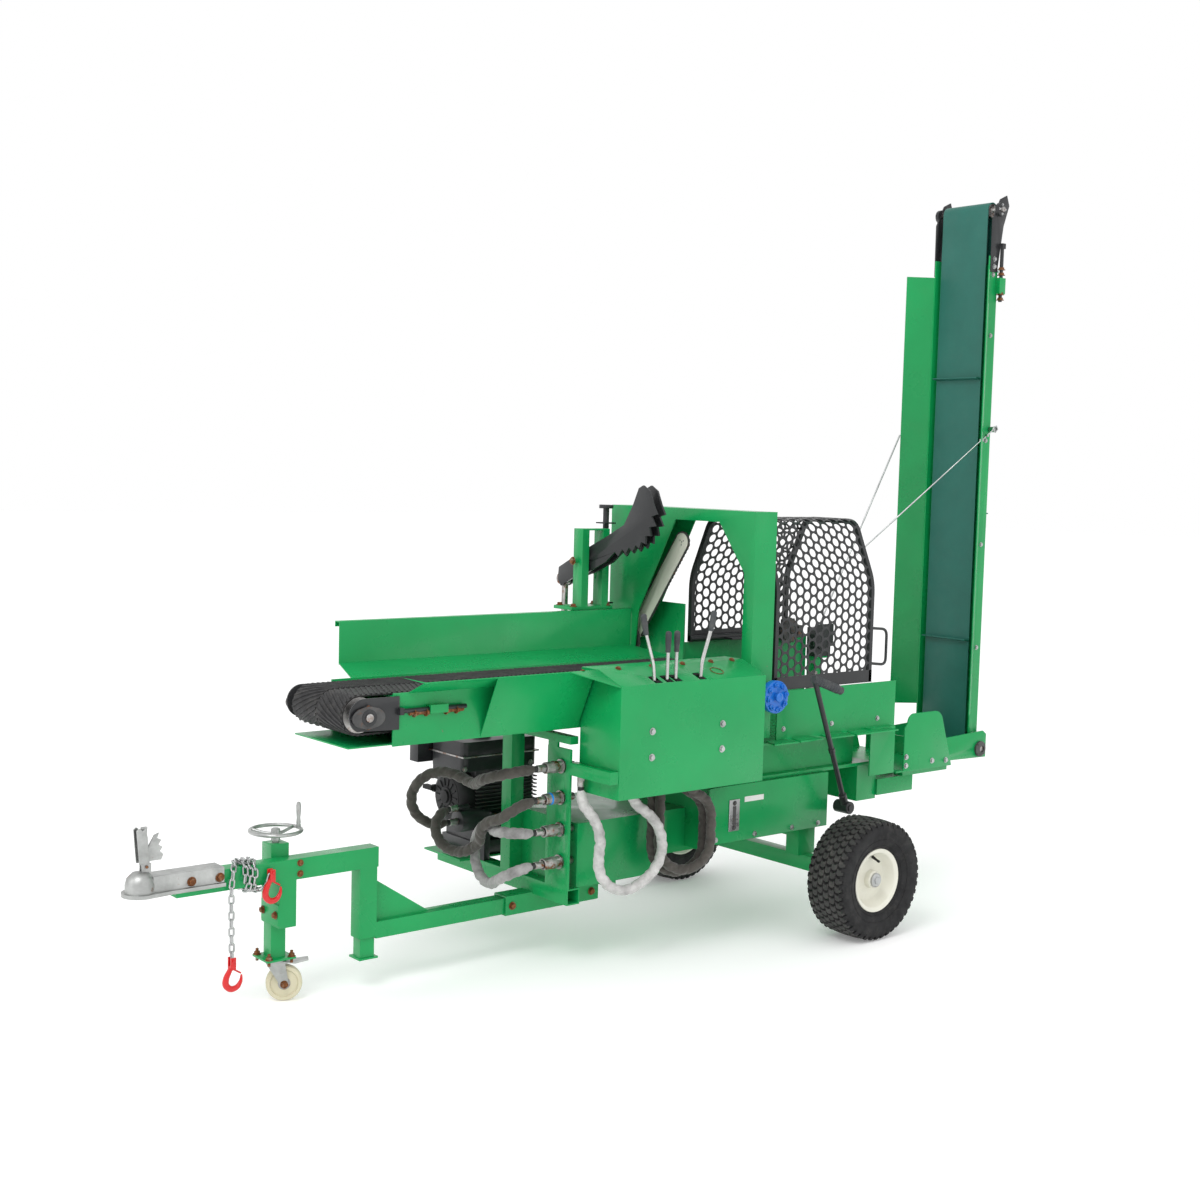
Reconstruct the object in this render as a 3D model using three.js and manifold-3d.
// Towed firewood processor: infeed belt, saw portal, log splitter and folding outfeed conveyor.
// Millimetres. X runs to the rear of the machine, Y to its far side and Z up from the ground.
// Inside the machine group X is counted from the axle; the group itself is centred on its length.

import * as THREE from 'three';
import { mergeVertices } from 'three/addons/utils/BufferGeometryUtils.js';
import Module from 'manifold-3d';

const wasm = await Module();
wasm.setup();

// ---- Driving dimensions -------------------------------------------------------------------

const GAP = 0.4;                // clearance between pieces that touch
const TUBE = 50;                // square tube of the chassis
const SHEET = 5;                // plate thickness of the green weldments
const NOSE_X = -2404;           // front of the ball coupler
const TAIL_X = 1060;            // rear of the folded conveyor's bearings

const tyre = { radius: 203, width: 160, rim: 106, track: 480 };
const axle = { z: tyre.radius, spindle: 16 };
const drawbar = { bottom: 151.5, post: 58, postRear: -1632, front: -1690 };
const tongue = { top: 427, height: 60, front: -2262, rear: -1628 };
const jack = { x: -1924, y: 55, outer: 56, inner: 46, top: 463, bottom: 232 };
const castor = { radius: 52, width: 32, trail: 28, turn: -0.47, plate: 92, plateZ: 126 };
const beam = { front: -1060, rear: -1010, near: -205, far: 510, bottom: 202 };
const trough = { near: -205, far: 140, wall: 360, front: -1700, rear: -345, bottom: 757, top: 908 };
const belt = { near: -170, far: 110, front: -1789, rear: -402, z: 848, roller: 52, thick: 6 };
const portal = { front: -340, rear: -240, near: -252, far: 488, top: 1424, beam: 40, foot: 665 };
const saw = { y: 390, z: 958, x: -300, length: 456, width: 66, lean: 125 };
const clamp = { y: 412, z: 1227, front: -560, rear: -437, base: 1055 };
const box = { front: -1027, rear: -418, near: -400, ridge: -290, back: -208, bottom: 561, top: 905, ridgeZ: 946 };
const tank = { front: -512, rear: 56, near: -255, far: 195, bottom: 330, top: 519.5 };
const bed = { front: -235, rear: 395, near: -256, far: 196, floor: 640, nearTop: 820, farTop: 944 };
const hood = { front: -225, rear: 270, near: -248, far: 188, shoulder: 1180, top: 1398, inset: 95 };
const conveyor = { x: 1000, near: -130, far: 82, bottom: 505, top: 2576, roller: 26, frameTop: 2400 };
const engine = { y: 404, z: 467, front: -1055, rear: -790, near: 305, far: 500 };
const flex = { hose: 10, chain: 6, cable: 4, step: 48 };

// Routes of the flexible lines, each from one fitting face to the next.
const routes = {
  safety_chain: [
    [-2052, 37, 385], [-2056, 37, 412], [-2062, 33, 430], [-2074, 12, 435.5], [-2086, -12, 435.5],
    [-2098, -33, 430], [-2104, -38, 410], [-2107, -38, 370], [-2107, -38, 300], [-2106, -38, 235], [-2104, -38, 172],
  ],
  hose_suction: [
    [-1128.4, -165, 634], [-1169.3, -163.6, 633.5], [-1207.7, -150.3, 629.1],
    [-1238.5, -124.9, 620.8], [-1258.2, -90.9, 609.6], [-1265, -52.7, 597.1],
    [-1258.5, -14.5, 584.3], [-1243.4, 21.2, 571], [-1226.6, 56.5, 558.5], [-1214.7, 95.2, 553.2],
    [-1212.3, 135.8, 557.2], [-1221.6, 174.4, 566.9], [-1242, 209.2, 572.7], [-1266.6, 241, 566],
    [-1288.7, 268.6, 545.7], [-1303.2, 289.5, 513.9], [-1306.1, 300.8, 474.9],
    [-1294.2, 300.9, 436.1], [-1268.7, 291.3, 406], [-1234.1, 276, 391], [-1195.3, 263.3, 391.4],
    [-1154.4, 262, 392],
  ],
  hose_return: [
    [-1128.4, -165, 536], [-1169.7, -163.7, 534.5], [-1206.6, -151.6, 521.4],
    [-1231.9, -128.2, 499.1], [-1241.6, -95.5, 476.3], [-1249.9, -57.4, 463],
    [-1253.7, -23.2, 440.8], [-1243.4, 2.6, 410.7], [-1229.6, 27.5, 381], [-1229.7, 60.1, 356.1],
    [-1237.8, 95.8, 337.3], [-1242.6, 135.8, 329.5], [-1255.9, 173.7, 337.6],
    [-1264.2, 206.2, 361.2], [-1256.8, 232.7, 391.7], [-1232.4, 251.7, 418.7],
    [-1195.7, 261, 434.3], [-1154.4, 262, 436],
  ],
  hose_jumper: [
    [-1128.4, -165, 436], [-1174.5, -161.6, 436], [-1213, -137, 435.8], [-1231.7, -95.2, 433.7],
    [-1227.1, -49.7, 429.1], [-1211.3, -6.5, 431.5], [-1205.4, 38.4, 424], [-1201.8, 74.7, 396.1],
    [-1200.1, 92.2, 353.8], [-1201.8, 86.8, 308.3], [-1206, 59.2, 271.9], [-1210.8, 17.2, 253.9],
    [-1218.4, -27.9, 257.9], [-1234.4, -67.6, 275.7], [-1235, -108.3, 296.8],
    [-1213.6, -142.7, 318.2], [-1174.5, -162.3, 332], [-1128.4, -165, 334],
  ],
  hose_valve: [
    [-889, -290, 639.6], [-891.2, -290.9, 594], [-886.2, -292.6, 549.1], [-860.6, -296.6, 512],
    [-823.8, -299.2, 485.2], [-791, -302.3, 453.5], [-768.4, -304, 414.3], [-761.4, -305.4, 369.3],
    [-773.3, -305.2, 325.6], [-802.3, -303.6, 290.5], [-841.3, -302.1, 267.1],
    [-884, -298.1, 251.4], [-928.8, -291.9, 253.1], [-966.9, -283.4, 276], [-988.9, -275.2, 314.6],
    [-989.7, -269.2, 359.5], [-978.1, -260.9, 402.7], [-984.6, -255.7, 447.2],
    [-1006.5, -251.6, 487.1], [-1034.9, -247.5, 522.6], [-1048, -245.8, 565.9],
    [-1048, -245, 611.6],
  ],
  winch_cable: [
    [411.4, 169, 925.7], [639, 169.5, 1321], [867, 170, 1717],
  ],
};

const levers = [
  { x: -869, lean: -38, bent: true },
  { x: -823, lean: 2, bent: false },
  { x: -787, lean: 2, bent: false },
  { x: -686, lean: 38, bent: true },
];

// ---- Materials ----------------------------------------------------------------------------

const paint = (color, roughness, metalness) => new THREE.MeshStandardMaterial({ color, roughness, metalness });
const GREEN = paint(0x1ea055, 0.42, 0.1);
const BLACK = paint(0x1c1d1e, 0.5, 0.1);
const ZINC = paint(0xc3c6c6, 0.4, 0.8);
const STEEL = paint(0x8f8f8c, 0.45, 0.9);
const RUBBER = paint(0x1f1f20, 0.85, 0);
const CREAM = paint(0xd9d6c8, 0.5, 0.1);
const BELT_GREEN = paint(0x35705f, 0.6, 0);
const SLEEVE_GREY = paint(0x8d8a89, 0.9, 0);
const SLEEVE_DARK = paint(0x49453f, 0.9, 0);
const BLUE = paint(0x1a66c8, 0.4, 0.1);

// ---- Solids -------------------------------------------------------------------------------

// A closed three.js geometry as a solid that can be joined and cut.
function solid(geometry) {
  const bare = geometry.clone();
  bare.deleteAttribute('normal');
  bare.deleteAttribute('uv');
  const merged = mergeVertices(bare, 1e-3);
  const triangles = [];
  const index = merged.index.array;
  for (let i = 0; i < index.length; i += 3) {
    const [a, b, c] = index.slice(i, i + 3);
    if (a !== b && b !== c && a !== c) triangles.push(a, b, c);
  }
  const mesh = new wasm.Mesh({
    numProp: 3,
    vertProperties: new Float32Array(merged.attributes.position.array),
    triVerts: new Uint32Array(triangles),
  });
  return new wasm.Manifold(mesh);
}

const join = (...solids) => solids.reduce((sum, next) => sum.add(next));
const cut = (body, ...tools) => tools.reduce((rest, tool) => rest.subtract(tool), body);

function geometryOf(body) {
  const mesh = body.getMesh();
  const geometry = new THREE.BufferGeometry();
  geometry.setAttribute('position', new THREE.BufferAttribute(new Float32Array(mesh.vertProperties), 3));
  geometry.setIndex(new THREE.BufferAttribute(new Uint32Array(mesh.triVerts), 1));
  geometry.computeVertexNormals();
  return geometry;
}

function block(x0, x1, y0, y1, z0, z1) {
  const geometry = new THREE.BoxGeometry(x1 - x0, y1 - y0, z1 - z0);
  geometry.translate((x0 + x1) / 2, (y0 + y1) / 2, (z0 + z1) / 2);
  return solid(geometry);
}

const AXES = {
  x: [new THREE.Vector3(0, 1, 0), new THREE.Vector3(0, 0, 1), new THREE.Vector3(1, 0, 0)],
  y: [new THREE.Vector3(1, 0, 0), new THREE.Vector3(0, 0, 1), new THREE.Vector3(0, -1, 0)],
  z: [new THREE.Vector3(1, 0, 0), new THREE.Vector3(0, 1, 0), new THREE.Vector3(0, 0, 1)],
};

// An outline in the plane across an axis, given a thickness from one place to another along it.
// Outlines across x are in (y, z), across y in (x, z) and across z in (x, y).
function plate(axis, from, to, outline, holes = []) {
  const shape = outline instanceof THREE.Shape
    ? outline : new THREE.Shape(outline.map(([u, v]) => new THREE.Vector2(u, v)));
  shape.holes.push(...holes);
  const geometry = new THREE.ExtrudeGeometry(shape, { depth: to - from, bevelEnabled: false, curveSegments: 8 });
  geometry.applyMatrix4(new THREE.Matrix4().makeBasis(...AXES[axis]));
  const shift = { x: [from, 0, 0], y: [0, to, 0], z: [0, 0, from] }[axis];
  geometry.translate(...shift);
  return solid(geometry);
}

// A round bar along an axis through (u, v), the two other coordinates in X, Y, Z order.
function bar(axis, from, to, u, v, radius, sides = 16, endRadius = radius) {
  const geometry = new THREE.CylinderGeometry(endRadius, radius, to - from, sides);
  if (axis === 'x') geometry.rotateZ(-Math.PI / 2);
  if (axis === 'z') geometry.rotateX(Math.PI / 2);
  const middle = (from + to) / 2;
  const centre = { x: [middle, u, v], y: [u, middle, v], z: [u, v, middle] }[axis];
  geometry.translate(...centre);
  return solid(geometry);
}

// A turned body around an axis; the profile is [radius, distance along the axis].
function turned(axis, u, v, profile, sides = 32) {
  const geometry = new THREE.LatheGeometry(profile.map(([r, h]) => new THREE.Vector2(r, h)), sides);
  if (axis === 'x') geometry.rotateZ(-Math.PI / 2);
  if (axis === 'z') geometry.rotateX(Math.PI / 2);
  const centre = { x: [0, u, v], y: [u, 0, v], z: [u, v, 0] }[axis];
  geometry.translate(...centre);
  return solid(geometry);
}

// A round tube along a smooth curve through points.
function hose(points, radius, steps, sides = 8) {
  const curve = new THREE.CatmullRomCurve3(points.map((p) => new THREE.Vector3(...p)), false, 'centripetal');
  const section = new THREE.Shape();
  section.absarc(0, 0, radius, 0, 2 * Math.PI, false);
  const ring = new THREE.Shape(section.getPoints(sides).slice(0, sides));
  return solid(new THREE.ExtrudeGeometry(ring, { steps, bevelEnabled: false, extrudePath: curve }));
}

// A straight square or round stay between two points.
function stay(from, to, radius, sides = 8) {
  const a = new THREE.Vector3(...from);
  const b = new THREE.Vector3(...to);
  const geometry = new THREE.CylinderGeometry(radius, radius, a.distanceTo(b), sides);
  const turn = new THREE.Quaternion().setFromUnitVectors(new THREE.Vector3(0, 1, 0), b.clone().sub(a).normalize());
  geometry.applyQuaternion(turn);
  geometry.translate((a.x + b.x) / 2, (a.y + b.y) / 2, (a.z + b.z) / 2);
  return solid(geometry);
}

const machine = new THREE.Group();
machine.position.x = -(NOSE_X + TAIL_X) / 2;

function add(name, body, material, parent = machine) {
  const mesh = new THREE.Mesh(geometryOf(body), material);
  mesh.name = name;
  parent.add(mesh);
  return mesh;
}

// ---- Tongue, coupler and jack -------------------------------------------------------------

function tongueFrame() {
  const half = TUBE / 2;
  const low = tongue.top - tongue.height;
  const drawbarTop = drawbar.bottom + TUBE;
  const postFront = drawbar.front;
  const postRear = drawbar.postRear;
  const jackNear = jack.y - jack.outer / 2;
  const jackFar = jack.y + jack.outer / 2;
  const jackFront = jack.x - jack.outer / 2;
  const jackRear = jack.x + jack.outer / 2;
  const gusset = [[postRear - 2, 329], [-1435, drawbarTop - 1], [postRear - 2, drawbarTop - 1]];
  const frame = join(
    block(tongue.front, tongue.rear, -half, half, low, tongue.top),
    block(postFront, postRear, -half, half, drawbar.bottom + 6, low + 1),
    block(postRear - 2, -822, -half, half, drawbar.bottom, drawbarTop),
    plate('y', -4, 4, gusset),
    block(jackFront, jackRear, jackNear, jackFar, jack.bottom, jack.top),
    block(jackFront, jackRear - 3, -half, jackNear + 1, jack.bottom, low + 1),
    block(jackFront - 5, jackFront + 1, -half, jack.y + 20, 240, 300),
  );
  const bore = jack.inner / 2 + 0.6;
  const footHalf = 20.6;
  return cut(
    frame,
    block(jack.x - bore, jack.x + bore, jack.y - bore, jack.y + bore, jack.bottom - 1, jack.top - SHEET),
    bar('z', jack.top - SHEET - 1, jack.top + 1, jack.x, jack.y, 10),
    block(postFront + 5, postRear - 3, -footHalf, footHalf, drawbar.bottom, 345),
  );
}

function coupler() {
  const half = TUBE / 2;
  const flange = new THREE.Shape();
  const noseX = NOSE_X + 50;
  flange.moveTo(-2125, -41);
  flange.lineTo(-2125, 41);
  flange.lineTo(-2280, 41);
  flange.absarc(noseX, 0, 50, 0.42 * Math.PI, 1.58 * Math.PI, false);
  flange.lineTo(-2280, -41);
  const dome = [[0, 392], [40, 392], [41, 412], [36, 432], [22, 446], [0, 450]];
  const socket = [[0, 380], [25.5, 380], [25.5, 410], [17, 428], [0, 434]];
  const shell = join(
    plate('z', 384, 394, flange),
    block(-2330, -2125, -half - 5, half + 5, 386, 436),
    turned('z', noseX, 0, dome, 24),
    block(-2353, -2327, -9, -5, 434, 470),
    block(-2353, -2327, 5, 9, 434, 470),
  );
  return cut(
    shell,
    block(tongue.front - 3, -2124, -half - GAP, half + GAP, 380, tongue.top + GAP),
    turned('z', noseX, 0, socket, 20),
    bar('y', -12, 12, -2340, 461, 4.4),
  );
}

function couplerLatch() {
  const outline = [[-2350, 453], [-2330, 453], [-2330, 490], [-2341, 520], [-2336, 568], [-2352, 568], [-2354, 500]];
  return join(plate('y', -4.5, 4.5, outline), bar('y', -11, 11, -2340, 461, 4));
}

function jackPost() {
  const half = jack.inner / 2;
  const plateHalf = castor.plate / 2;
  const body = join(
    block(jack.x - half, jack.x + half, jack.y - half, jack.y + half, castor.plateZ + 5, 400),
    block(jack.x - plateHalf, jack.x + plateHalf, jack.y - plateHalf, jack.y + plateHalf, castor.plateZ, castor.plateZ + 6),
  );
  const wall = 4;
  return cut(body, block(
    jack.x - half + wall, jack.x + half - wall, jack.y - half + wall, jack.y + half - wall, castor.plateZ + 10, 401,
  ));
}

function jackHandwheel() {
  const ringZ = 497;
  const radius = 73;
  const ring = new THREE.TorusGeometry(radius, 5.5, 8, 32);
  ring.translate(jack.x, jack.y, ringZ);
  const spokes = [];
  for (let i = 0; i < 3; i += 1) {
    const turn = 0.3 + i * 2 * Math.PI / 3;
    const end = [jack.x + radius * Math.cos(turn), jack.y + radius * Math.sin(turn), ringZ];
    spokes.push(stay([jack.x, jack.y, ringZ - 8], end, 5));
  }
  return join(
    solid(ring),
    ...spokes,
    bar('z', ringZ - 28, ringZ + 4, jack.x, jack.y, 13),
    bar('z', 330, ringZ - 20, jack.x, jack.y, 9),
    bar('z', ringZ - 3, 572, jack.x + radius, jack.y, 5.5, 12),
  );
}

function castorFork(parent) {
  const top = castor.plateZ - GAP;
  const axleZ = castor.radius;
  const leg = [[-24, top - 10], [30, top - 10], [castor.trail + 13, axleZ], [castor.trail + 6, axleZ - 12],
    [castor.trail - 6, axleZ - 12], [castor.trail - 13, axleZ]];
  const fork = join(
    bar('z', top - 8, top, 0, 0, 33, 24),
    block(-24, 34, -23, 23, top - 12, top - 7),
    plate('y', -23, -19.5, leg),
    plate('y', 19.5, 23, leg),
    bar('y', -26, 26, castor.trail, axleZ, 5.5, 12),
    plate('y', -16, 16, [[30, top - 12], [96, top - 4], [97, top - 8], [60, top - 16], [30, top - 14]]),
  );
  return add('castor_fork', fork, ZINC, parent);
}

function castorWheel(parent) {
  const half = castor.width / 2;
  const r = castor.radius;
  const profile = [[6, -half], [18, -half], [20, -half + 5], [r - 12, -half + 5], [r - 9, -half], [r - 3, -half],
    [r, -half + 4], [r, half - 4], [r - 3, half], [r - 9, half], [r - 12, half - 5], [20, half - 5], [18, half],
    [6, half], [6, -half]];
  const wheel = turned('y', castor.trail, r, profile, 32);
  return add('castor_wheel', wheel, CREAM, parent);
}

function parkingFoot() {
  const front = drawbar.front + 6;
  const rear = drawbar.postRear - 4;
  return join(
    block(front, rear, -20, 20, 98, 330),
    block(front - 8, rear + 8, -30, 30, 94, 100),
  );
}

// ---- Chassis, wheels and tank -------------------------------------------------------------

function chassis() {
  const half = TUBE / 2;
  const sleeveOut = 31;
  const sleeveTop = beam.bottom + 6;
  const drawbarTop = drawbar.bottom + TUBE;
  const beamTop = beam.bottom + TUBE;
  const railTop = tank.bottom - 20 - GAP;
  const frontBox = { x0: beam.rear, x1: -640, y0: -190, y1: 194, z0: beamTop - 2, z1: 452 };
  const parts = [
    block(beam.front, beam.rear, beam.near, beam.far, beam.bottom, beamTop),
    block(-1165, -790, -sleeveOut, sleeveOut, drawbar.bottom - 5, sleeveTop),
    block(frontBox.x0 - 2, frontBox.x1, frontBox.y0, frontBox.y1, frontBox.z0, frontBox.z1),
    block(frontBox.x1 - 1, tank.front - 10, -150, 150, 300, 440),
    block(beam.front, beam.front + 8, -205, -92, beamTop - 1, 690),
    block(beam.front, beam.front + 32, box.near + 2, -198, 612, 650),
    block(beam.front, beam.rear, 96, 146, beamTop - 1, trough.bottom - GAP),
    block(beam.front, beam.front + 30, -205, 97, 706, 730),
    block(beam.front, beam.front + 8, -140, -94, 650, 730),
    block(engine.front - 60, beam.rear + 230, engine.near - 10, beam.far, beamTop - 6, beamTop),
    block(-790, -740, -60, 60, 195, beamTop),
    block(-700, 0, -120, -90, 286, railTop),
    block(-700, 0, 60, 90, 286, railTop),
    block(-700, -640, -120, 90, 270, railTop),
    block(-half, half, -385, 385, axle.z - half, axle.z + half),
    bar('y', -tyre.track - 50, tyre.track + 50, 0, axle.z, axle.spindle, 20),
  ];
  for (const y of [-215, 125]) {
    parts.push(block(-40, 40, y, y + 60, axle.z + half - 1, tank.bottom - GAP));
    parts.push(block(-40, 10, Math.min(y, -120), Math.max(y + 60, 90), 290, tank.bottom - GAP));
  }
  const holes = [634, 536, 436, 334].map((z) => bar('x', beam.front - 1, beam.front + 9, -165, z, 21));
  return cut(
    join(...parts),
    block(-1170, -785, -half - GAP, half + GAP, drawbar.bottom - GAP, drawbarTop + GAP),
    block(beam.front + 4, beam.rear - 4, beam.near - 1, beam.near + 120, beam.bottom + 4, beamTop - 4),
    ...holes,
  );
}

function wheelTyre() {
  const half = tyre.width / 2;
  const r = tyre.radius;
  const profile = [[tyre.rim, -58], [tyre.rim + 14, -66], [150, -78], [178, -half], [192, -74], [r, -58], [r, 58],
    [192, 74], [178, half], [150, 78], [tyre.rim + 14, 66], [tyre.rim, 58], [tyre.rim, -58]];
  return profile;
}

function wheelRim() {
  const r = tyre.rim - GAP;
  return [[axle.spindle + 0.3, -48], [30, -48], [34, -30], [62, -22], [80, -30], [88, -52], [r, -58], [r, 58],
    [r - 6, 58], [86, -18], [62, -10], [34, -18], [30, 20], [axle.spindle + 0.3, 20], [axle.spindle + 0.3, -48]];
}

function addWheel(side, sign) {
  const place = new THREE.Group();
  place.position.set(0, sign * tyre.track, axle.z);
  place.rotation.z = sign > 0 ? Math.PI : 0;
  machine.add(place);
  add(`tyre_${side}`, turned('y', 0, 0, wheelTyre(), 40), RUBBER, place);
  add(`rim_${side}`, turned('y', 0, 0, wheelRim(), 32), CREAM, place);
}

function hydraulicTank() {
  const { front, rear, near, far, bottom, top } = tank;
  return join(
    block(front, rear, near, far, bottom, top),
    block(front - 9, front + 1, near - 7, far + 7, bottom - 20, top),
  );
}

// ---- Engine, pump and hydraulics ----------------------------------------------------------

function engineBlock() {
  const deck = beam.bottom + TUBE + GAP;
  return join(
    block(engine.front + 5, engine.rear, engine.near, engine.far, deck, 300),
    block(engine.front + 15, engine.rear - 15, engine.near + 15, engine.far - 10, 299, 540),
    bar('x', engine.rear - 20, engine.rear + 60, engine.y, 380, 22),
    block(engine.front + 40, engine.rear - 60, engine.far - 12, engine.far + 44, 330, 470),
    block(-1150, -1060, 506, 556, 548, 626),
    block(-1062, -1000, 503, 546, 480, 600),
    block(-1040, -1010, engine.far - 14, 506, 486, 530),
  );
}

function recoilStarter() {
  const back = engine.front + 15 - GAP;
  return join(
    turned('x', engine.y, engine.z - 22, [[0, -1100], [62, -1100], [84, -1090], [92, -1075], [92, back], [0, back]], 32),
    bar('x', -1112, -1098, engine.y, engine.z - 22, 22),
    block(-1112, -1092, engine.y + 76, engine.y + 128, 452, 466),
    block(-1100, -1070, engine.y + 74, engine.y + 90, 446, 470),
  );
}

function fuelTank() {
  const { front, rear, near, far } = { front: -1105, rear: -800, near: 300, far: 500 };
  const outline = new THREE.Shape();
  const r = 24;
  outline.moveTo(front + r, near);
  outline.absarc(rear - r, near + r, r, 1.5 * Math.PI, 2 * Math.PI, false);
  outline.absarc(rear - r, far - r, r, 0, 0.5 * Math.PI, false);
  outline.absarc(front + r, far - r, r, 0.5 * Math.PI, Math.PI, false);
  outline.absarc(front + r, near + r, r, Math.PI, 1.5 * Math.PI, false);
  return join(plate('z', 541, 640, outline), bar('z', 639, 662, -960, 400, 30, 20));
}

function hydraulicPump() {
  return join(
    bar('x', -1152, -1062, 262, 392, 36, 20),
    bar('x', -1062.5, -1030, 262, 392, 26, 16),
    block(-1058, -1036, 240, 284, beam.bottom + TUBE + GAP, 380),
    bar('x', -1154, -1110, 262, 436, 10, 12),
    block(-1136, -1110, 254, 270, 420, 440),
  );
}

function quickCouplings() {
  const y = -165;
  const solids = [block(beam.front + 8 + GAP, beam.front + 14, y - 14, y + 14, 316, 652)];
  for (const z of [634, 536, 436, 334]) {
    solids.push(bar('x', -1128, beam.front + 10, y, z, 18, 16));
    solids.push(bar('x', beam.front + 9, beam.rear - 4, y, z, 12, 12));
  }
  return join(...solids);
}

function controlValve() {
  const front = -900;
  return join(
    block(front, -660, -388, -300, 640, 760),
    block(front + 10, -670, -380, -320, 759, 800),
    bar('y', -301, -240, -780, 700, 22),
  );
}

// ---- Infeed trough ------------------------------------------------------------------------

function infeedFrame() {
  const { near, far, wall, front, rear, bottom, top } = trough;
  const bedZ = belt.z + belt.roller - 7;
  const wing = [[near, top - 3], [near, top], [box.ridge, box.ridgeZ], [box.ridge, box.ridgeZ - 3]];
  const ear = [[-1640, box.ridgeZ - 2], [-1732, 966], [-1650, box.ridgeZ - 4]];
  const skin = [[near - 1, bottom + 3], [near + 3, bottom + 3], [box.ridge + 4, box.ridgeZ - 2], [box.ridge + 1, box.ridgeZ - 2]];
  const slope = [[far - 1, top - 3.5], [wall + 1.5, 921.5], [wall + 1.5, 924.5], [far - 1, top - 0.5]];
  const slopeEdge = [[-1545, wall + 4], [-1632, far - 1], [-1700, far - 1], [-1700, wall + 4]];
  const lipEdge = [[-1140, box.ridge - 2], [-1134, box.ridge - 2], [box.front - 3, box.near + 1],
    [box.front, box.near - 2], [-1140, box.near - 2]];
  const roof = [[near, top - 3], [near, top], [box.ridge, box.ridgeZ], [box.near, box.top], [box.near, box.top - 3],
    [box.ridge, box.ridgeZ - 3]];
  const flangeZ = clamp.base - GAP;
  return join(
    block(front, rear, near, near + SHEET, bottom, top),
    block(front, rear, far - SHEET, far, bottom, top),
    block(-1690, -470, near + 1, far - 1, bedZ, bedZ + 5),
    block(-1690, -1400, near + 1, far - 1, bottom, bottom + 4),
    block(-1830, -1689, belt.near - 10, belt.far + 10, bottom, bottom + 4),
    block(-1120, -970, near + 1, far - 1, bottom, bottom + 4),
    plate('x', -1650, -1135, wing),
    plate('y', box.ridge, box.ridge + 3, ear),
    plate('x', -1400, box.front - 9, skin),
    cut(plate('x', -1135, box.front - 3, roof), plate('z', 880, 960, lipEdge)),
    cut(plate('x', -1700, rear, slope), plate('z', 880, 960, slopeEdge)),
    block(-1545, rear, wall, wall + 3, 918, flangeZ),
    block(-1545, rear, wall, wall + 28, flangeZ - 3, flangeZ),
    block(-1545, rear, wall + 25, wall + 28, flangeZ - 18, flangeZ),
    cut(block(-1590, -1530, near - 24, near + 1, 846, 870), bar('x', -1591, -1529, near - 12, 858, 8)),
  ).subtract(bar('y', near - 2, far + 2, belt.rear, belt.z, 13))
    .subtract(bar('y', near - 2, far + 2, -1789, belt.z, 60));
}

function beltLoop(front, rear, centre, radius, thick, near, far) {
  const outline = (r, path) => {
    path.absarc(rear, centre, r, -Math.PI / 2, Math.PI / 2, false);
    path.absarc(front, centre, r, Math.PI / 2, 1.5 * Math.PI, false);
    path.closePath();
    return path;
  };
  const loop = outline(radius + thick, new THREE.Shape());
  return plate('y', near, far, loop, [outline(radius, new THREE.Path())]);
}

function infeedRoller(x, shaftNear, shaftFar) {
  return join(
    bar('y', belt.near + 2, belt.far - 2, x, belt.z, belt.roller - GAP, 24),
    bar('y', shaftNear, shaftFar, x, belt.z, 12, 16),
  );
}

function takeup(side) {
  const inner = side < 0 ? trough.near - GAP : trough.far + GAP;
  const span = (from, to) => [inner + side * from, inner + side * to].sort((a, b) => a - b);
  const arm = new THREE.Shape();
  arm.moveTo(-1683, 805);
  arm.lineTo(-1683, 900);
  arm.lineTo(belt.front - 5, 900);
  arm.absarc(belt.front - 8, belt.z + 4, 48, Math.PI / 2, 1.35 * Math.PI, false);
  const flange = new THREE.Shape();
  flange.moveTo(belt.front + 55, belt.z);
  flange.lineTo(belt.front, belt.z + 36);
  flange.lineTo(belt.front - 55, belt.z);
  flange.lineTo(belt.front, belt.z - 36);
  const body = join(
    plate('y', ...span(0, 5), arm),
    plate('y', ...span(4, 12), flange),
    bar('y', ...span(4, 20), belt.front, belt.z, 24),
    block(-1690, -1676, ...span(0, 20), 848, 868),
    bar('x', -1680, -1462, inner + side * 12, 858, 7, 12),
  );
  return cut(body, bar('y', ...span(-2, 30), belt.front, belt.z, 12.4));
}

// ---- Portal, saw and log clamp ------------------------------------------------------------

function portalFrame() {
  const { front, rear, near, far, top, foot } = portal;
  const low = top - portal.beam;
  const caseOutline = [[far, top], [143, top], [143, low], [326, 1052], [345, 880], [far, 880]];
  const hollow = [[far - 5, top - 5], [140, top - 5], [100, low], [300, 1052], [320, 870], [far - 5, 870]];
  const body = join(
    plate('x', front, rear, caseOutline),
    block(front, rear, -206, 144, low, top),
    block(front, rear, near, -205, foot, top),
    plate('x', front, front + SHEET, [[-206, low + 1], [-78, low + 1], [-206, 1218]]),
    block(rear - 6, rear, 185, 346, 881, 1082),
  );
  return cut(
    body,
    plate('x', front + SHEET, rear - SHEET, hollow),
    block(front + 4, rear - 4, near + 4, -209, foot - 1, top - 30),
    bar('x', rear - 7, rear + 1, saw.y, saw.z, 14),
  );
}

function sawBar() {
  const half = saw.width / 2;
  const shape = new THREE.Shape();
  shape.moveTo(-30, -half + 10);
  shape.lineTo(20, -half);
  shape.lineTo(saw.length - half, -half);
  shape.absarc(saw.length - half, 0, half, -Math.PI / 2, Math.PI / 2, false);
  shape.lineTo(20, half);
  shape.lineTo(-30, half - 10);
  const body = cut(plate('x', saw.x - 3, saw.x + 3, shape), bar('x', saw.x - 4, saw.x + 4, 0, 0, 12.5));
  const turned125 = body.rotate([saw.lean, 0, 0]);
  return turned125.translate([0, saw.y, saw.z]);
}

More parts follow.
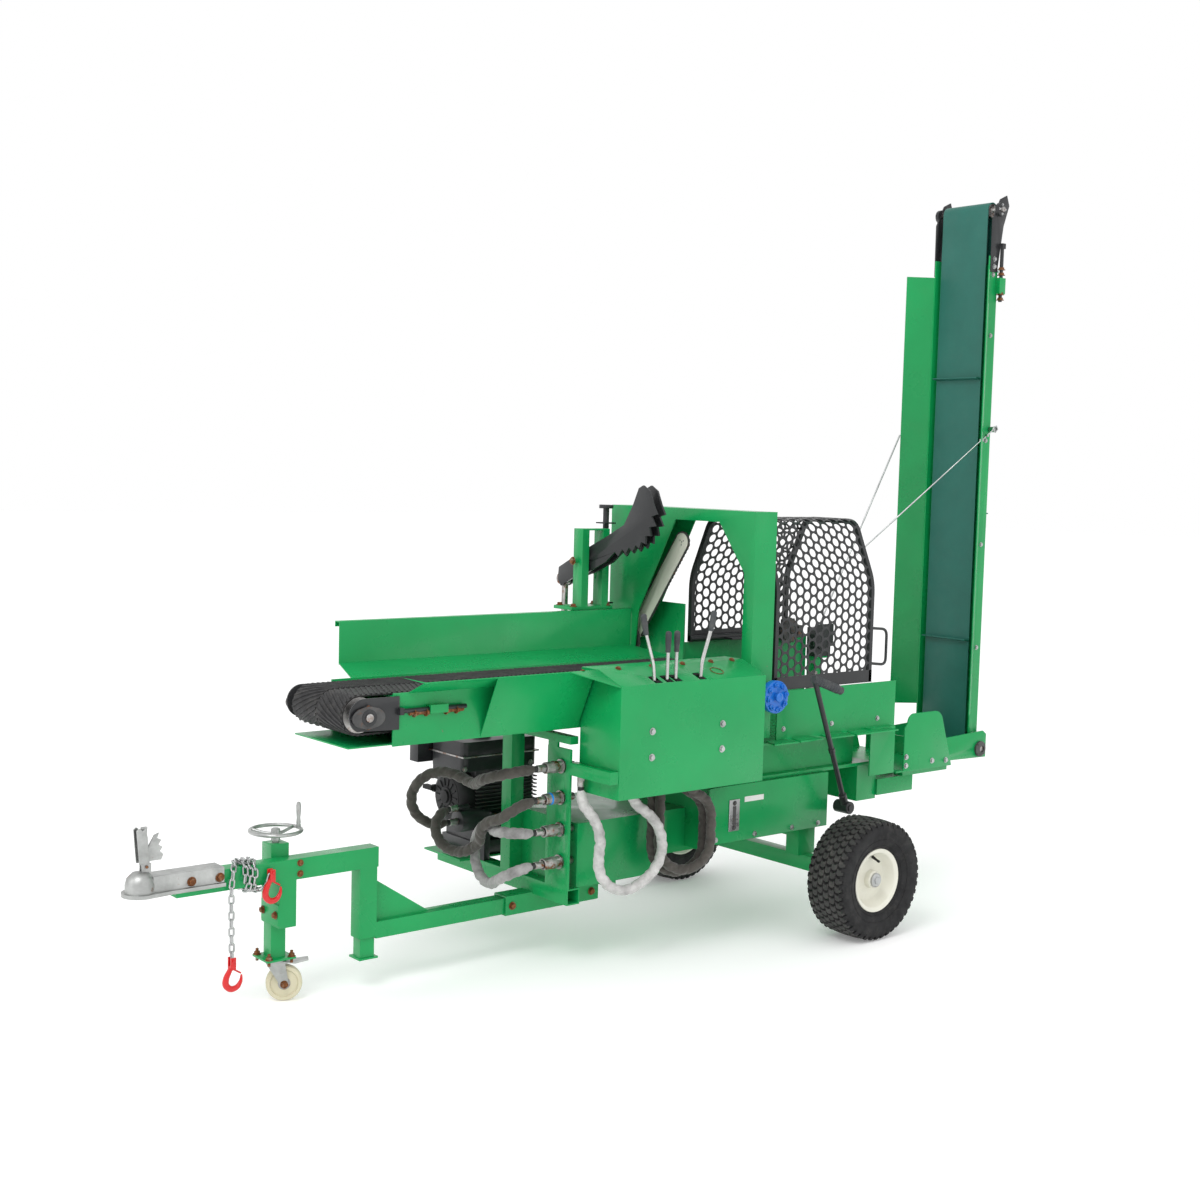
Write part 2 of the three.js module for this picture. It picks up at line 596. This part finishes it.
function sawMotor() {
  return join(
    bar('x', portal.rear + GAP, portal.rear + 90, saw.y, saw.z, 46, 24),
    bar('x', saw.x - 12, portal.rear + 2, saw.y, saw.z, 12, 16),
    bar('x', saw.x - 14, saw.x - 4, saw.y, saw.z, 20, 16),
  );
}

function clampBracket() {
  const { y, z, front, rear, base } = clamp;
  const near = y - 32;
  const posts = [[front, front + 30], [rear - 30, rear]];
  return join(
    block(front - 45, rear + 18, near - 4, near + 100, base, base + 12),
    ...posts.map(([x0, x1]) => block(x0, x1, near, near + TUBE, base + 11, 1340)),
    block(front, rear, near, near + TUBE, 1335, 1341),
    bar('x', front - 16, rear + 16, y, z, 8),
  );
}

function clampArm() {
  const back = [
    [562, 1195], [487, 1232], [402, 1272], [300, 1316], [205, 1362], [160, 1432], [132, 1490], [110, 1500],
    [78, 1482], [56, 1436],
  ];
  const teeth = [
    [36, 1404], [64, 1396], [44, 1364], [73, 1360], [64, 1330], [91, 1330], [90, 1302], [112, 1308],
    [122, 1284], [140, 1296], [156, 1272], [175, 1286], [192, 1264], [211, 1278], [230, 1252], [250, 1266],
  ];
  const outline = [...back, ...teeth, [300, 1228], [398, 1185], [484, 1160], [548, 1128], [566, 1150]];
  const x0 = -522;
  const x1 = -478;
  const twin = [plate('x', x0, x0 + 8, outline), plate('x', x1 - 8, x1, outline)];
  return cut(
    join(
      ...twin,
      bar('x', x0, x1, 330, 1262, 12),
      bar('x', x0, x1, 150, 1340, 12),
      bar('x', x0, x1, 545, 1152, 6, 12),
      bar('x', x0, x1, clamp.y, clamp.z, 16, 16),
    ),
    bar('x', x0 - 1, x1 + 1, clamp.y, clamp.z, 8.5),
  );
}

const cylinderX = -500;
const cylinderY = 558;

function clampBarrel() {
  const axisY = cylinderY - 8;
  const body = join(
    bar('z', 700, 960, cylinderX, axisY, 26, 20),
    bar('z', 959, 972, cylinderX, axisY, 28, 20),
  );
  const strap = block(cylinderX - 30, cylinderX + 30, trough.far + GAP, axisY, 770, 782);
  return cut(join(body, strap), bar('z', 720, 973, cylinderX, axisY, 12.4, 16));
}

function clampRod() {
  const axisY = cylinderY - 8;
  const eye = new THREE.Shape();
  eye.absarc(axisY + 24, 1152, 20, -Math.PI / 2, Math.PI / 2, false);
  eye.absarc(axisY - 6, 1152, 20, Math.PI / 2, 1.5 * Math.PI, false);
  const slot = new THREE.Path();
  slot.absarc(axisY + 24, 1152, 9, -Math.PI / 2, Math.PI / 2, false);
  slot.absarc(axisY - 6, 1152, 9, Math.PI / 2, 1.5 * Math.PI, false);
  slot.closePath();
  return join(
    bar('z', 730, 1136, cylinderX, axisY, 12, 16),
    plate('x', cylinderX - 6, cylinderX + 6, eye, [slot]),
  );
}

function feedCylinder() {
  const x = -392;
  const y = 458;
  return join(
    bar('z', clamp.base + 14, 1300, x, y, 14),
    bar('z', 1299, 1412, x, y, 11),
    block(x - 26, x + 26, y - 26, y + 26, 1356, 1361),
    bar('z', 1411, 1424, x, y, 26, 20),
    block(x - 24, x + 24, y - 24, y + 24, clamp.base + 12.4, clamp.base + 18),
  );
}

// ---- Control box --------------------------------------------------------------------------

function controlBox() {
  const { front, rear, near, ridge, back, bottom, top, ridgeZ } = box;
  const skin = 3;
  const outline = [[near, bottom], [near, top], [ridge, ridgeZ], [back, ridgeZ], [back, bottom]];
  const inner = [[near + skin, bottom - 1], [near + skin, top - skin], [ridge, ridgeZ - skin],
    [back - skin, ridgeZ - skin], [back - skin, bottom - 1]];
  const slots = levers.map((lever) => block(lever.x - 15, lever.x + 15, -392, -352, 880, 942));
  return cut(
    plate('x', front, rear, outline),
    plate('x', front + skin, rear - skin, inner),
    ...slots,
  );
}

function controlLever(lever) {
  const y = -372;
  const pivotZ = 850;
  const knee = [lever.x + lever.lean * 0.25, y, 960];
  const gripFoot = [lever.x + lever.lean * 1.15, y, lever.bent ? 1058 : 1000];
  const gripTop = [lever.x + lever.lean * 1.5, y, lever.bent ? 1122 : 1064];
  const rod = lever.bent ? [stay([lever.x, y, pivotZ], knee, 6), stay(knee, gripFoot, 6)]
    : [stay([lever.x, y, pivotZ], gripFoot, 6)];
  return join(
    ...rod,
    stay(gripFoot, gripTop, 11, 12),
    bar('x', lever.x - 12, lever.x + 12, y, pivotZ, 11, 16),
  );
}

// ---- Splitter bed, ram, wedge and guard ---------------------------------------------------

function splitterBed() {
  const { front, rear, near, far, floor, nearTop, farTop } = bed;
  const parts = [
    block(-420, 300, -235, 175, tank.top + GAP, tank.top + 12),
    block(-420, 240, -200, -190, tank.top + 10, floor + 4),
    block(-420, 240, 130, 140, tank.top + 10, floor + 4),
    block(-414, rear, near, far, floor, floor + 8),
    block(front + 22, rear, near, near + SHEET, floor, nearTop),
    block(front, rear, far - SHEET, far, floor, farTop),
    block(232, 334, -232, 172, 392, tank.top + 2),
    block(240, 371, near - 26, near - 21, 490, floor + 20),
    block(240, 371, near - 26, near + 2, floor + 10, floor + 20),
    block(333, 530, -240, -190, 404, 462),
    block(333, 530, 130, 180, 404, 462),
    block(480, 530, -240, 180, 404, 462),
    block(404, 440, far - 46, far - 4, floor + 7, 850),
    block(390, 438, far - 46, far, floor, floor + 8),
    block(404, 440, far - 44, far - 10, 850, 862),
    block(404, 480, far - 50, far - 44, 856, 970),
    block(404, 480, far - 10, far - 4, 856, 970),
    block(404, 440, far - 50, far - 4, 856, 862),
    bar('y', far - 48, far - 6, 430, 915, 10, 12),
    block(-420, -300, -60, 20, floor + 6, floor + 60),
  ];
  const tabs = [[-282, -167], [-157, -44], [-14, 113], [124, 347]];
  for (const [x0, x1] of tabs) {
    parts.push(plate('z', floor + 10, floor + 15, [[x0 + 22, near + 1], [x1, near + 1], [x1, near - 62], [x0, near - 62]]));
  }
  return cut(
    join(...parts),
    block(140, 232, -46, 6, floor - 1, floor + 9),
    bar('x', -421, -299, -20, floor + 34, 17),
  );
}

function splitterRam() {
  return join(
    block(-212, -160, -120, 80, bed.floor + 8 + GAP, bed.floor + 170),
    block(-162, -142, -70, 30, bed.floor + 10, bed.floor + 150),
    bar('x', -735, -211, -20, bed.floor + 34, 16),
  );
}

function ramBarrel() {
  const z = bed.floor + 34;
  const body = join(bar('x', -760, -421, -20, z, 30, 20), bar('x', -782, -759, -20, z, 20, 16));
  return cut(body, bar('x', -740, -420, -20, z, 17, 20));
}

function splittingWedge() {
  return join(
    plate('y', -32, -12, [[168, 560], [222, 560], [222, 838], [210, 838], [150, 700], [168, 640]]),
    plate('z', 720, 732, [[166, -30], [222, -118], [222, 78], [166, -14]]),
  );
}

function wedgeLever() {
  const foot = [92, -306, 400];
  const knee = [-196, -406, 878];
  return join(
    stay(foot, knee, 9, 12),
    stay(knee, [-62, -406, 830], 15, 12),
    bar('y', -330, tank.near - 10, foot[0], foot[2], 24, 16),
  );
}

function guardHood() {
  const { front, rear, near, far, shoulder, top, inset } = hood;
  const sheet = 4;
  const nearFoot = bed.nearTop + 2;
  const farFoot = bed.farTop + 2;
  const arch = (grow, footNear, footFar) => [
    [near + grow, footNear], [near + grow, shoulder - grow * 0.4], [near + inset + grow * 0.6, top - grow],
    [far - inset - grow * 0.6, top - grow], [far - grow, shoulder - grow * 0.4], [far - grow, footFar],
  ];
  const outside = arch(0, nearFoot, farFoot);
  const inside = arch(sheet, nearFoot - 4, farFoot - 4);
  const frameInside = arch(22, nearFoot - 4, farFoot - 4);
  const shell = cut(plate('x', front, rear, outside), plate('x', front - 1, rear + 1, inside));
  const hoop = (x0, x1) => cut(plate('x', x0, x1, outside), plate('x', x0 - 1, x1 + 1, frameInside));
  const handle = hose([[rear - 6, near + 8, 1020], [rear + 84, near + 8, 1012], [rear + 88, near + 8, 940],
    [rear + 80, near + 8, 878], [rear - 6, near + 8, 888]], 5, 16);
  return join(
    shell,
    hoop(front, front + 20),
    hoop(rear - 20, rear),
    block(front, rear, near, near + 22, nearFoot, nearFoot + 22),
    block(front, rear, far - 22, far, farFoot, farFoot + 22),
    handle,
  );
}

function driveMotor() {
  const x = -262;
  const z = 810;
  const far = portal.near - GAP;
  const bolts = [];
  for (let i = 0; i < 8; i += 1) {
    const turn = i * Math.PI / 4;
    bolts.push(bar('y', -306, -290, x + 42 * Math.cos(turn), z + 42 * Math.sin(turn), 7, 6));
  }
  return join(
    bar('y', -300, -278, x, z, 55, 24),
    bar('y', -279, far, x, z, 44, 20),
    bar('y', -310, -299, x, z, 12, 12),
    ...bolts,
  );
}

// ---- Outfeed conveyor ---------------------------------------------------------------------

function outfeedBase() {
  const near = -270;
  const round = new THREE.Shape();
  round.moveTo(440, 486);
  round.lineTo(440, 640);
  round.absarc(490, 660, 34, Math.PI, Math.PI / 2, true);
  round.absarc(610, 648, 46, Math.PI / 2, 0.1 * Math.PI, true);
  round.lineTo(714, 486);
  const parts = [
    plate('y', near, near + SHEET, round),
    plate('y', 180, 185, round),
    block(398, 714, near, 185, 482, 488),
    block(460, 714, near + 20, near + 60, 463, 483),
    block(460, 714, 126, 166, 463, 483),
    plate('y', -180, -174, [[690, 478], [1040, 470], [1040, 560], [1020, 574], [690, 560]]),
    plate('y', 124, 130, [[690, 478], [1040, 470], [1040, 560], [1020, 574], [690, 560]]),
    block(700, 706, -180, 130, 484, 560),
    block(690, 716, -200, 150, 478, 488),
    plate('y', -180, 130, [[704, 482], [950, 474], [950, 479], [704, 487]]),
  ];
  return cut(
    join(...parts),
    bar('y', -182, -172, conveyor.x, conveyor.bottom, 12.4),
    bar('y', 122, 132, conveyor.x, conveyor.bottom, 12.4),
  );
}

function outfeedFrame() {
  const { x, near, far, bottom, frameTop } = conveyor;
  const sideNear = near - 20;
  const sideFar = far + 20;
  const flare = 0.703;
  const reach = 93;
  const foot = bottom + 145;
  const side = (y0) => block(x - 38, x + 12, y0, y0 + SHEET, bottom - 30, frameTop);
  const wing = (y0, direction) => {
    const dy = direction * reach * flare;
    const start = x - 34;
    return plate('z', foot, frameTop - 64, [[start, y0], [start - reach, y0 + dy], [start - reach + 2, y0 + dy + direction * 3],
      [start + 3, y0 + direction * 3]]);
  };
  const parts = [
    side(sideNear - SHEET),
    side(sideFar),
    block(x - 6, x - 2, sideNear - 1, sideFar + 1, bottom + 60, frameTop - 30),
    wing(sideNear - SHEET + 2, -1),
    wing(sideFar + SHEET - 2, 1),
    cut(block(x + 4, x + 40, sideNear - 24, sideNear - 4, frameTop - 140, frameTop - 80),
      bar('z', frameTop - 141, frameTop - 79, x + 22, sideNear - 15, 8.5)),
    bar('y', sideNear - 26, sideNear - 4, x + 6, 1743, 6, 12),
  ];
  return cut(join(...parts), bar('y', sideNear - 40, sideFar + 20, x, bottom, 12.4));
}

function outfeedTakeup(side) {
  const { x, near, far, top, frameTop } = conveyor;
  const y0 = side < 0 ? near - 25 - GAP : far + 25 + GAP;
  const span = (from, to) => [y0 + side * from, y0 + side * to].sort((a, b) => a - b);
  const arm = [[x - 34, frameTop - 60], [x + 2, frameTop - 60], [x + 30, top - 60], [x + 60, top + 20], [x + 44, top + 58],
    [x + 6, top + 40], [x - 36, top - 40]];
  const parts = [
    plate('y', ...span(0, 5), arm),
    bar('y', ...span(4, 18), x, top, 26, 20),
  ];
  if (side < 0) {
    parts.push(bar('z', frameTop - 170, frameTop + 40, x + 22, near - 35, 7, 12));
    parts.push(block(x + 12, x + 32, near - 44, near - 25 - GAP, frameTop + 30, frameTop + 50));
  }
  return cut(join(...parts), bar('y', ...span(-3, 30), x, top, 10.4));
}

function outfeedBelt() {
  const { x, near, far, bottom, top, roller } = conveyor;
  const thick = 4;
  const outline = (r, path) => {
    path.absarc(x, top, r, 0, Math.PI, false);
    path.absarc(x, bottom, r, Math.PI, 2 * Math.PI, false);
    path.closePath();
    return path;
  };
  const loop = plate('y', near, far, outline(roller + thick, new THREE.Shape()), [outline(roller, new THREE.Path())]);
  const outer = roller + thick;
  const cleats = [];
  for (const z of [924, 1935]) {
    cleats.push(plate('y', near + 1, far - 1, [[x - outer + 1, z - 3], [x - outer - 26, z + 3], [x - outer - 26, z + 7], [x - outer + 1, z + 5]]));
  }
  for (const z of [1420, 2350]) {
    cleats.push(plate('y', near + 1, far - 1, [[x + outer - 1, z - 3], [x + outer + 26, z - 3], [x + outer + 26, z + 1], [x + outer - 1, z + 5]]));
  }
  return join(loop, ...cleats);
}

function outfeedRoller(z, reachNear, reachFar, shaft) {
  const { x, near, far, roller } = conveyor;
  return join(
    bar('y', near + 1, far - 1, x, z, roller - GAP, 20),
    bar('y', near - reachNear, far + reachFar, x, z, shaft, 16),
  );
}

function winchDrum() {
  const x = 430;
  const y = 169;
  const profile = [[10.4, y - 15], [30, y - 15], [30, y - 12], [17, y - 12], [17, y + 8], [30, y + 8], [30, y + 11],
    [10.4, y + 11], [10.4, y - 15]];
  return turned('y', x, 915, profile, 24);
}

function addLine(name, radius, material) {
  const route = routes[name];
  let length = 0;
  for (let i = 1; i < route.length; i += 1) {
    length += new THREE.Vector3(...route[i]).distanceTo(new THREE.Vector3(...route[i - 1]));
  }
  const steps = Math.min(80, Math.ceil(length / (radius * flex.step / 10)));
  return add(name, hose(route, radius, steps), material);
}

// ---- Assembly -----------------------------------------------------------------------------

add('tongue', tongueFrame(), GREEN);
add('coupler', coupler(), ZINC);
add('coupler_latch', couplerLatch(), ZINC);
add('jack_post', jackPost(), GREEN);
add('jack_handwheel', jackHandwheel(), ZINC);
const swivel = new THREE.Group();
swivel.position.set(jack.x, jack.y, 0);
swivel.rotation.z = castor.turn;
machine.add(swivel);
castorFork(swivel);
castorWheel(swivel);
add('parking_foot', parkingFoot(), GREEN);
addLine('safety_chain', flex.chain, ZINC);
add('chassis', chassis(), GREEN);
addWheel('near', -1);
addWheel('far', 1);
add('hydraulic_tank', hydraulicTank(), GREEN);
add('engine_block', engineBlock(), BLACK);
add('recoil_starter', recoilStarter(), BLACK);
add('fuel_tank', fuelTank(), BLACK);
add('hydraulic_pump', hydraulicPump(), BLACK);
add('quick_couplings', quickCouplings(), STEEL);
addLine('hose_suction', flex.hose, SLEEVE_DARK);
addLine('hose_return', flex.hose, SLEEVE_DARK);
addLine('hose_jumper', flex.hose, SLEEVE_GREY);
addLine('hose_valve', flex.hose, SLEEVE_GREY);
add('control_box', controlBox(), GREEN);
add('control_valve', controlValve(), STEEL);
levers.forEach((lever, i) => add(`control_lever_${i + 1}`, controlLever(lever), ZINC));
add('infeed_frame', infeedFrame(), GREEN);
add('infeed_belt', beltLoop(belt.front, belt.rear, belt.z, belt.roller, belt.thick, belt.near, belt.far), RUBBER);
add('infeed_roller_front', infeedRoller(belt.front, trough.near - 24, trough.far + 24), STEEL);
add('infeed_roller_rear', infeedRoller(belt.rear, trough.near - 6, trough.far + 8), STEEL);
add('takeup_near', takeup(-1), BLACK);
add('takeup_far', takeup(1), BLACK);
add('portal_frame', portalFrame(), GREEN);
add('saw_bar', sawBar(), CREAM);
add('saw_motor', sawMotor(), STEEL);
add('clamp_bracket', clampBracket(), GREEN);
add('clamp_arm', clampArm(), BLACK);
add('clamp_barrel', clampBarrel(), BLACK);
add('clamp_rod', clampRod(), STEEL);
add('feed_cylinder', feedCylinder(), BLACK);
add('splitter_bed', splitterBed(), GREEN);
add('splitter_ram', splitterRam(), STEEL);
add('ram_barrel', ramBarrel(), GREEN);
add('splitting_wedge', splittingWedge(), STEEL);
add('wedge_lever', wedgeLever(), BLACK);
add('guard_hood', guardHood(), BLACK);
add('drive_motor', driveMotor(), BLUE);
add('outfeed_base', outfeedBase(), GREEN);
add('outfeed_frame', outfeedFrame(), GREEN);
add('outfeed_takeup_near', outfeedTakeup(-1), BLACK);
add('outfeed_takeup_far', outfeedTakeup(1), BLACK);
add('outfeed_belt', outfeedBelt(), BELT_GREEN);
add('outfeed_roller_top', outfeedRoller(conveyor.top, 48, 48, 10), STEEL);
add('outfeed_roller_bottom', outfeedRoller(conveyor.bottom, 60, 60, 12), STEEL);
add('winch_drum', winchDrum(), STEEL);
addLine('winch_cable', flex.cable, STEEL);

export default machine;
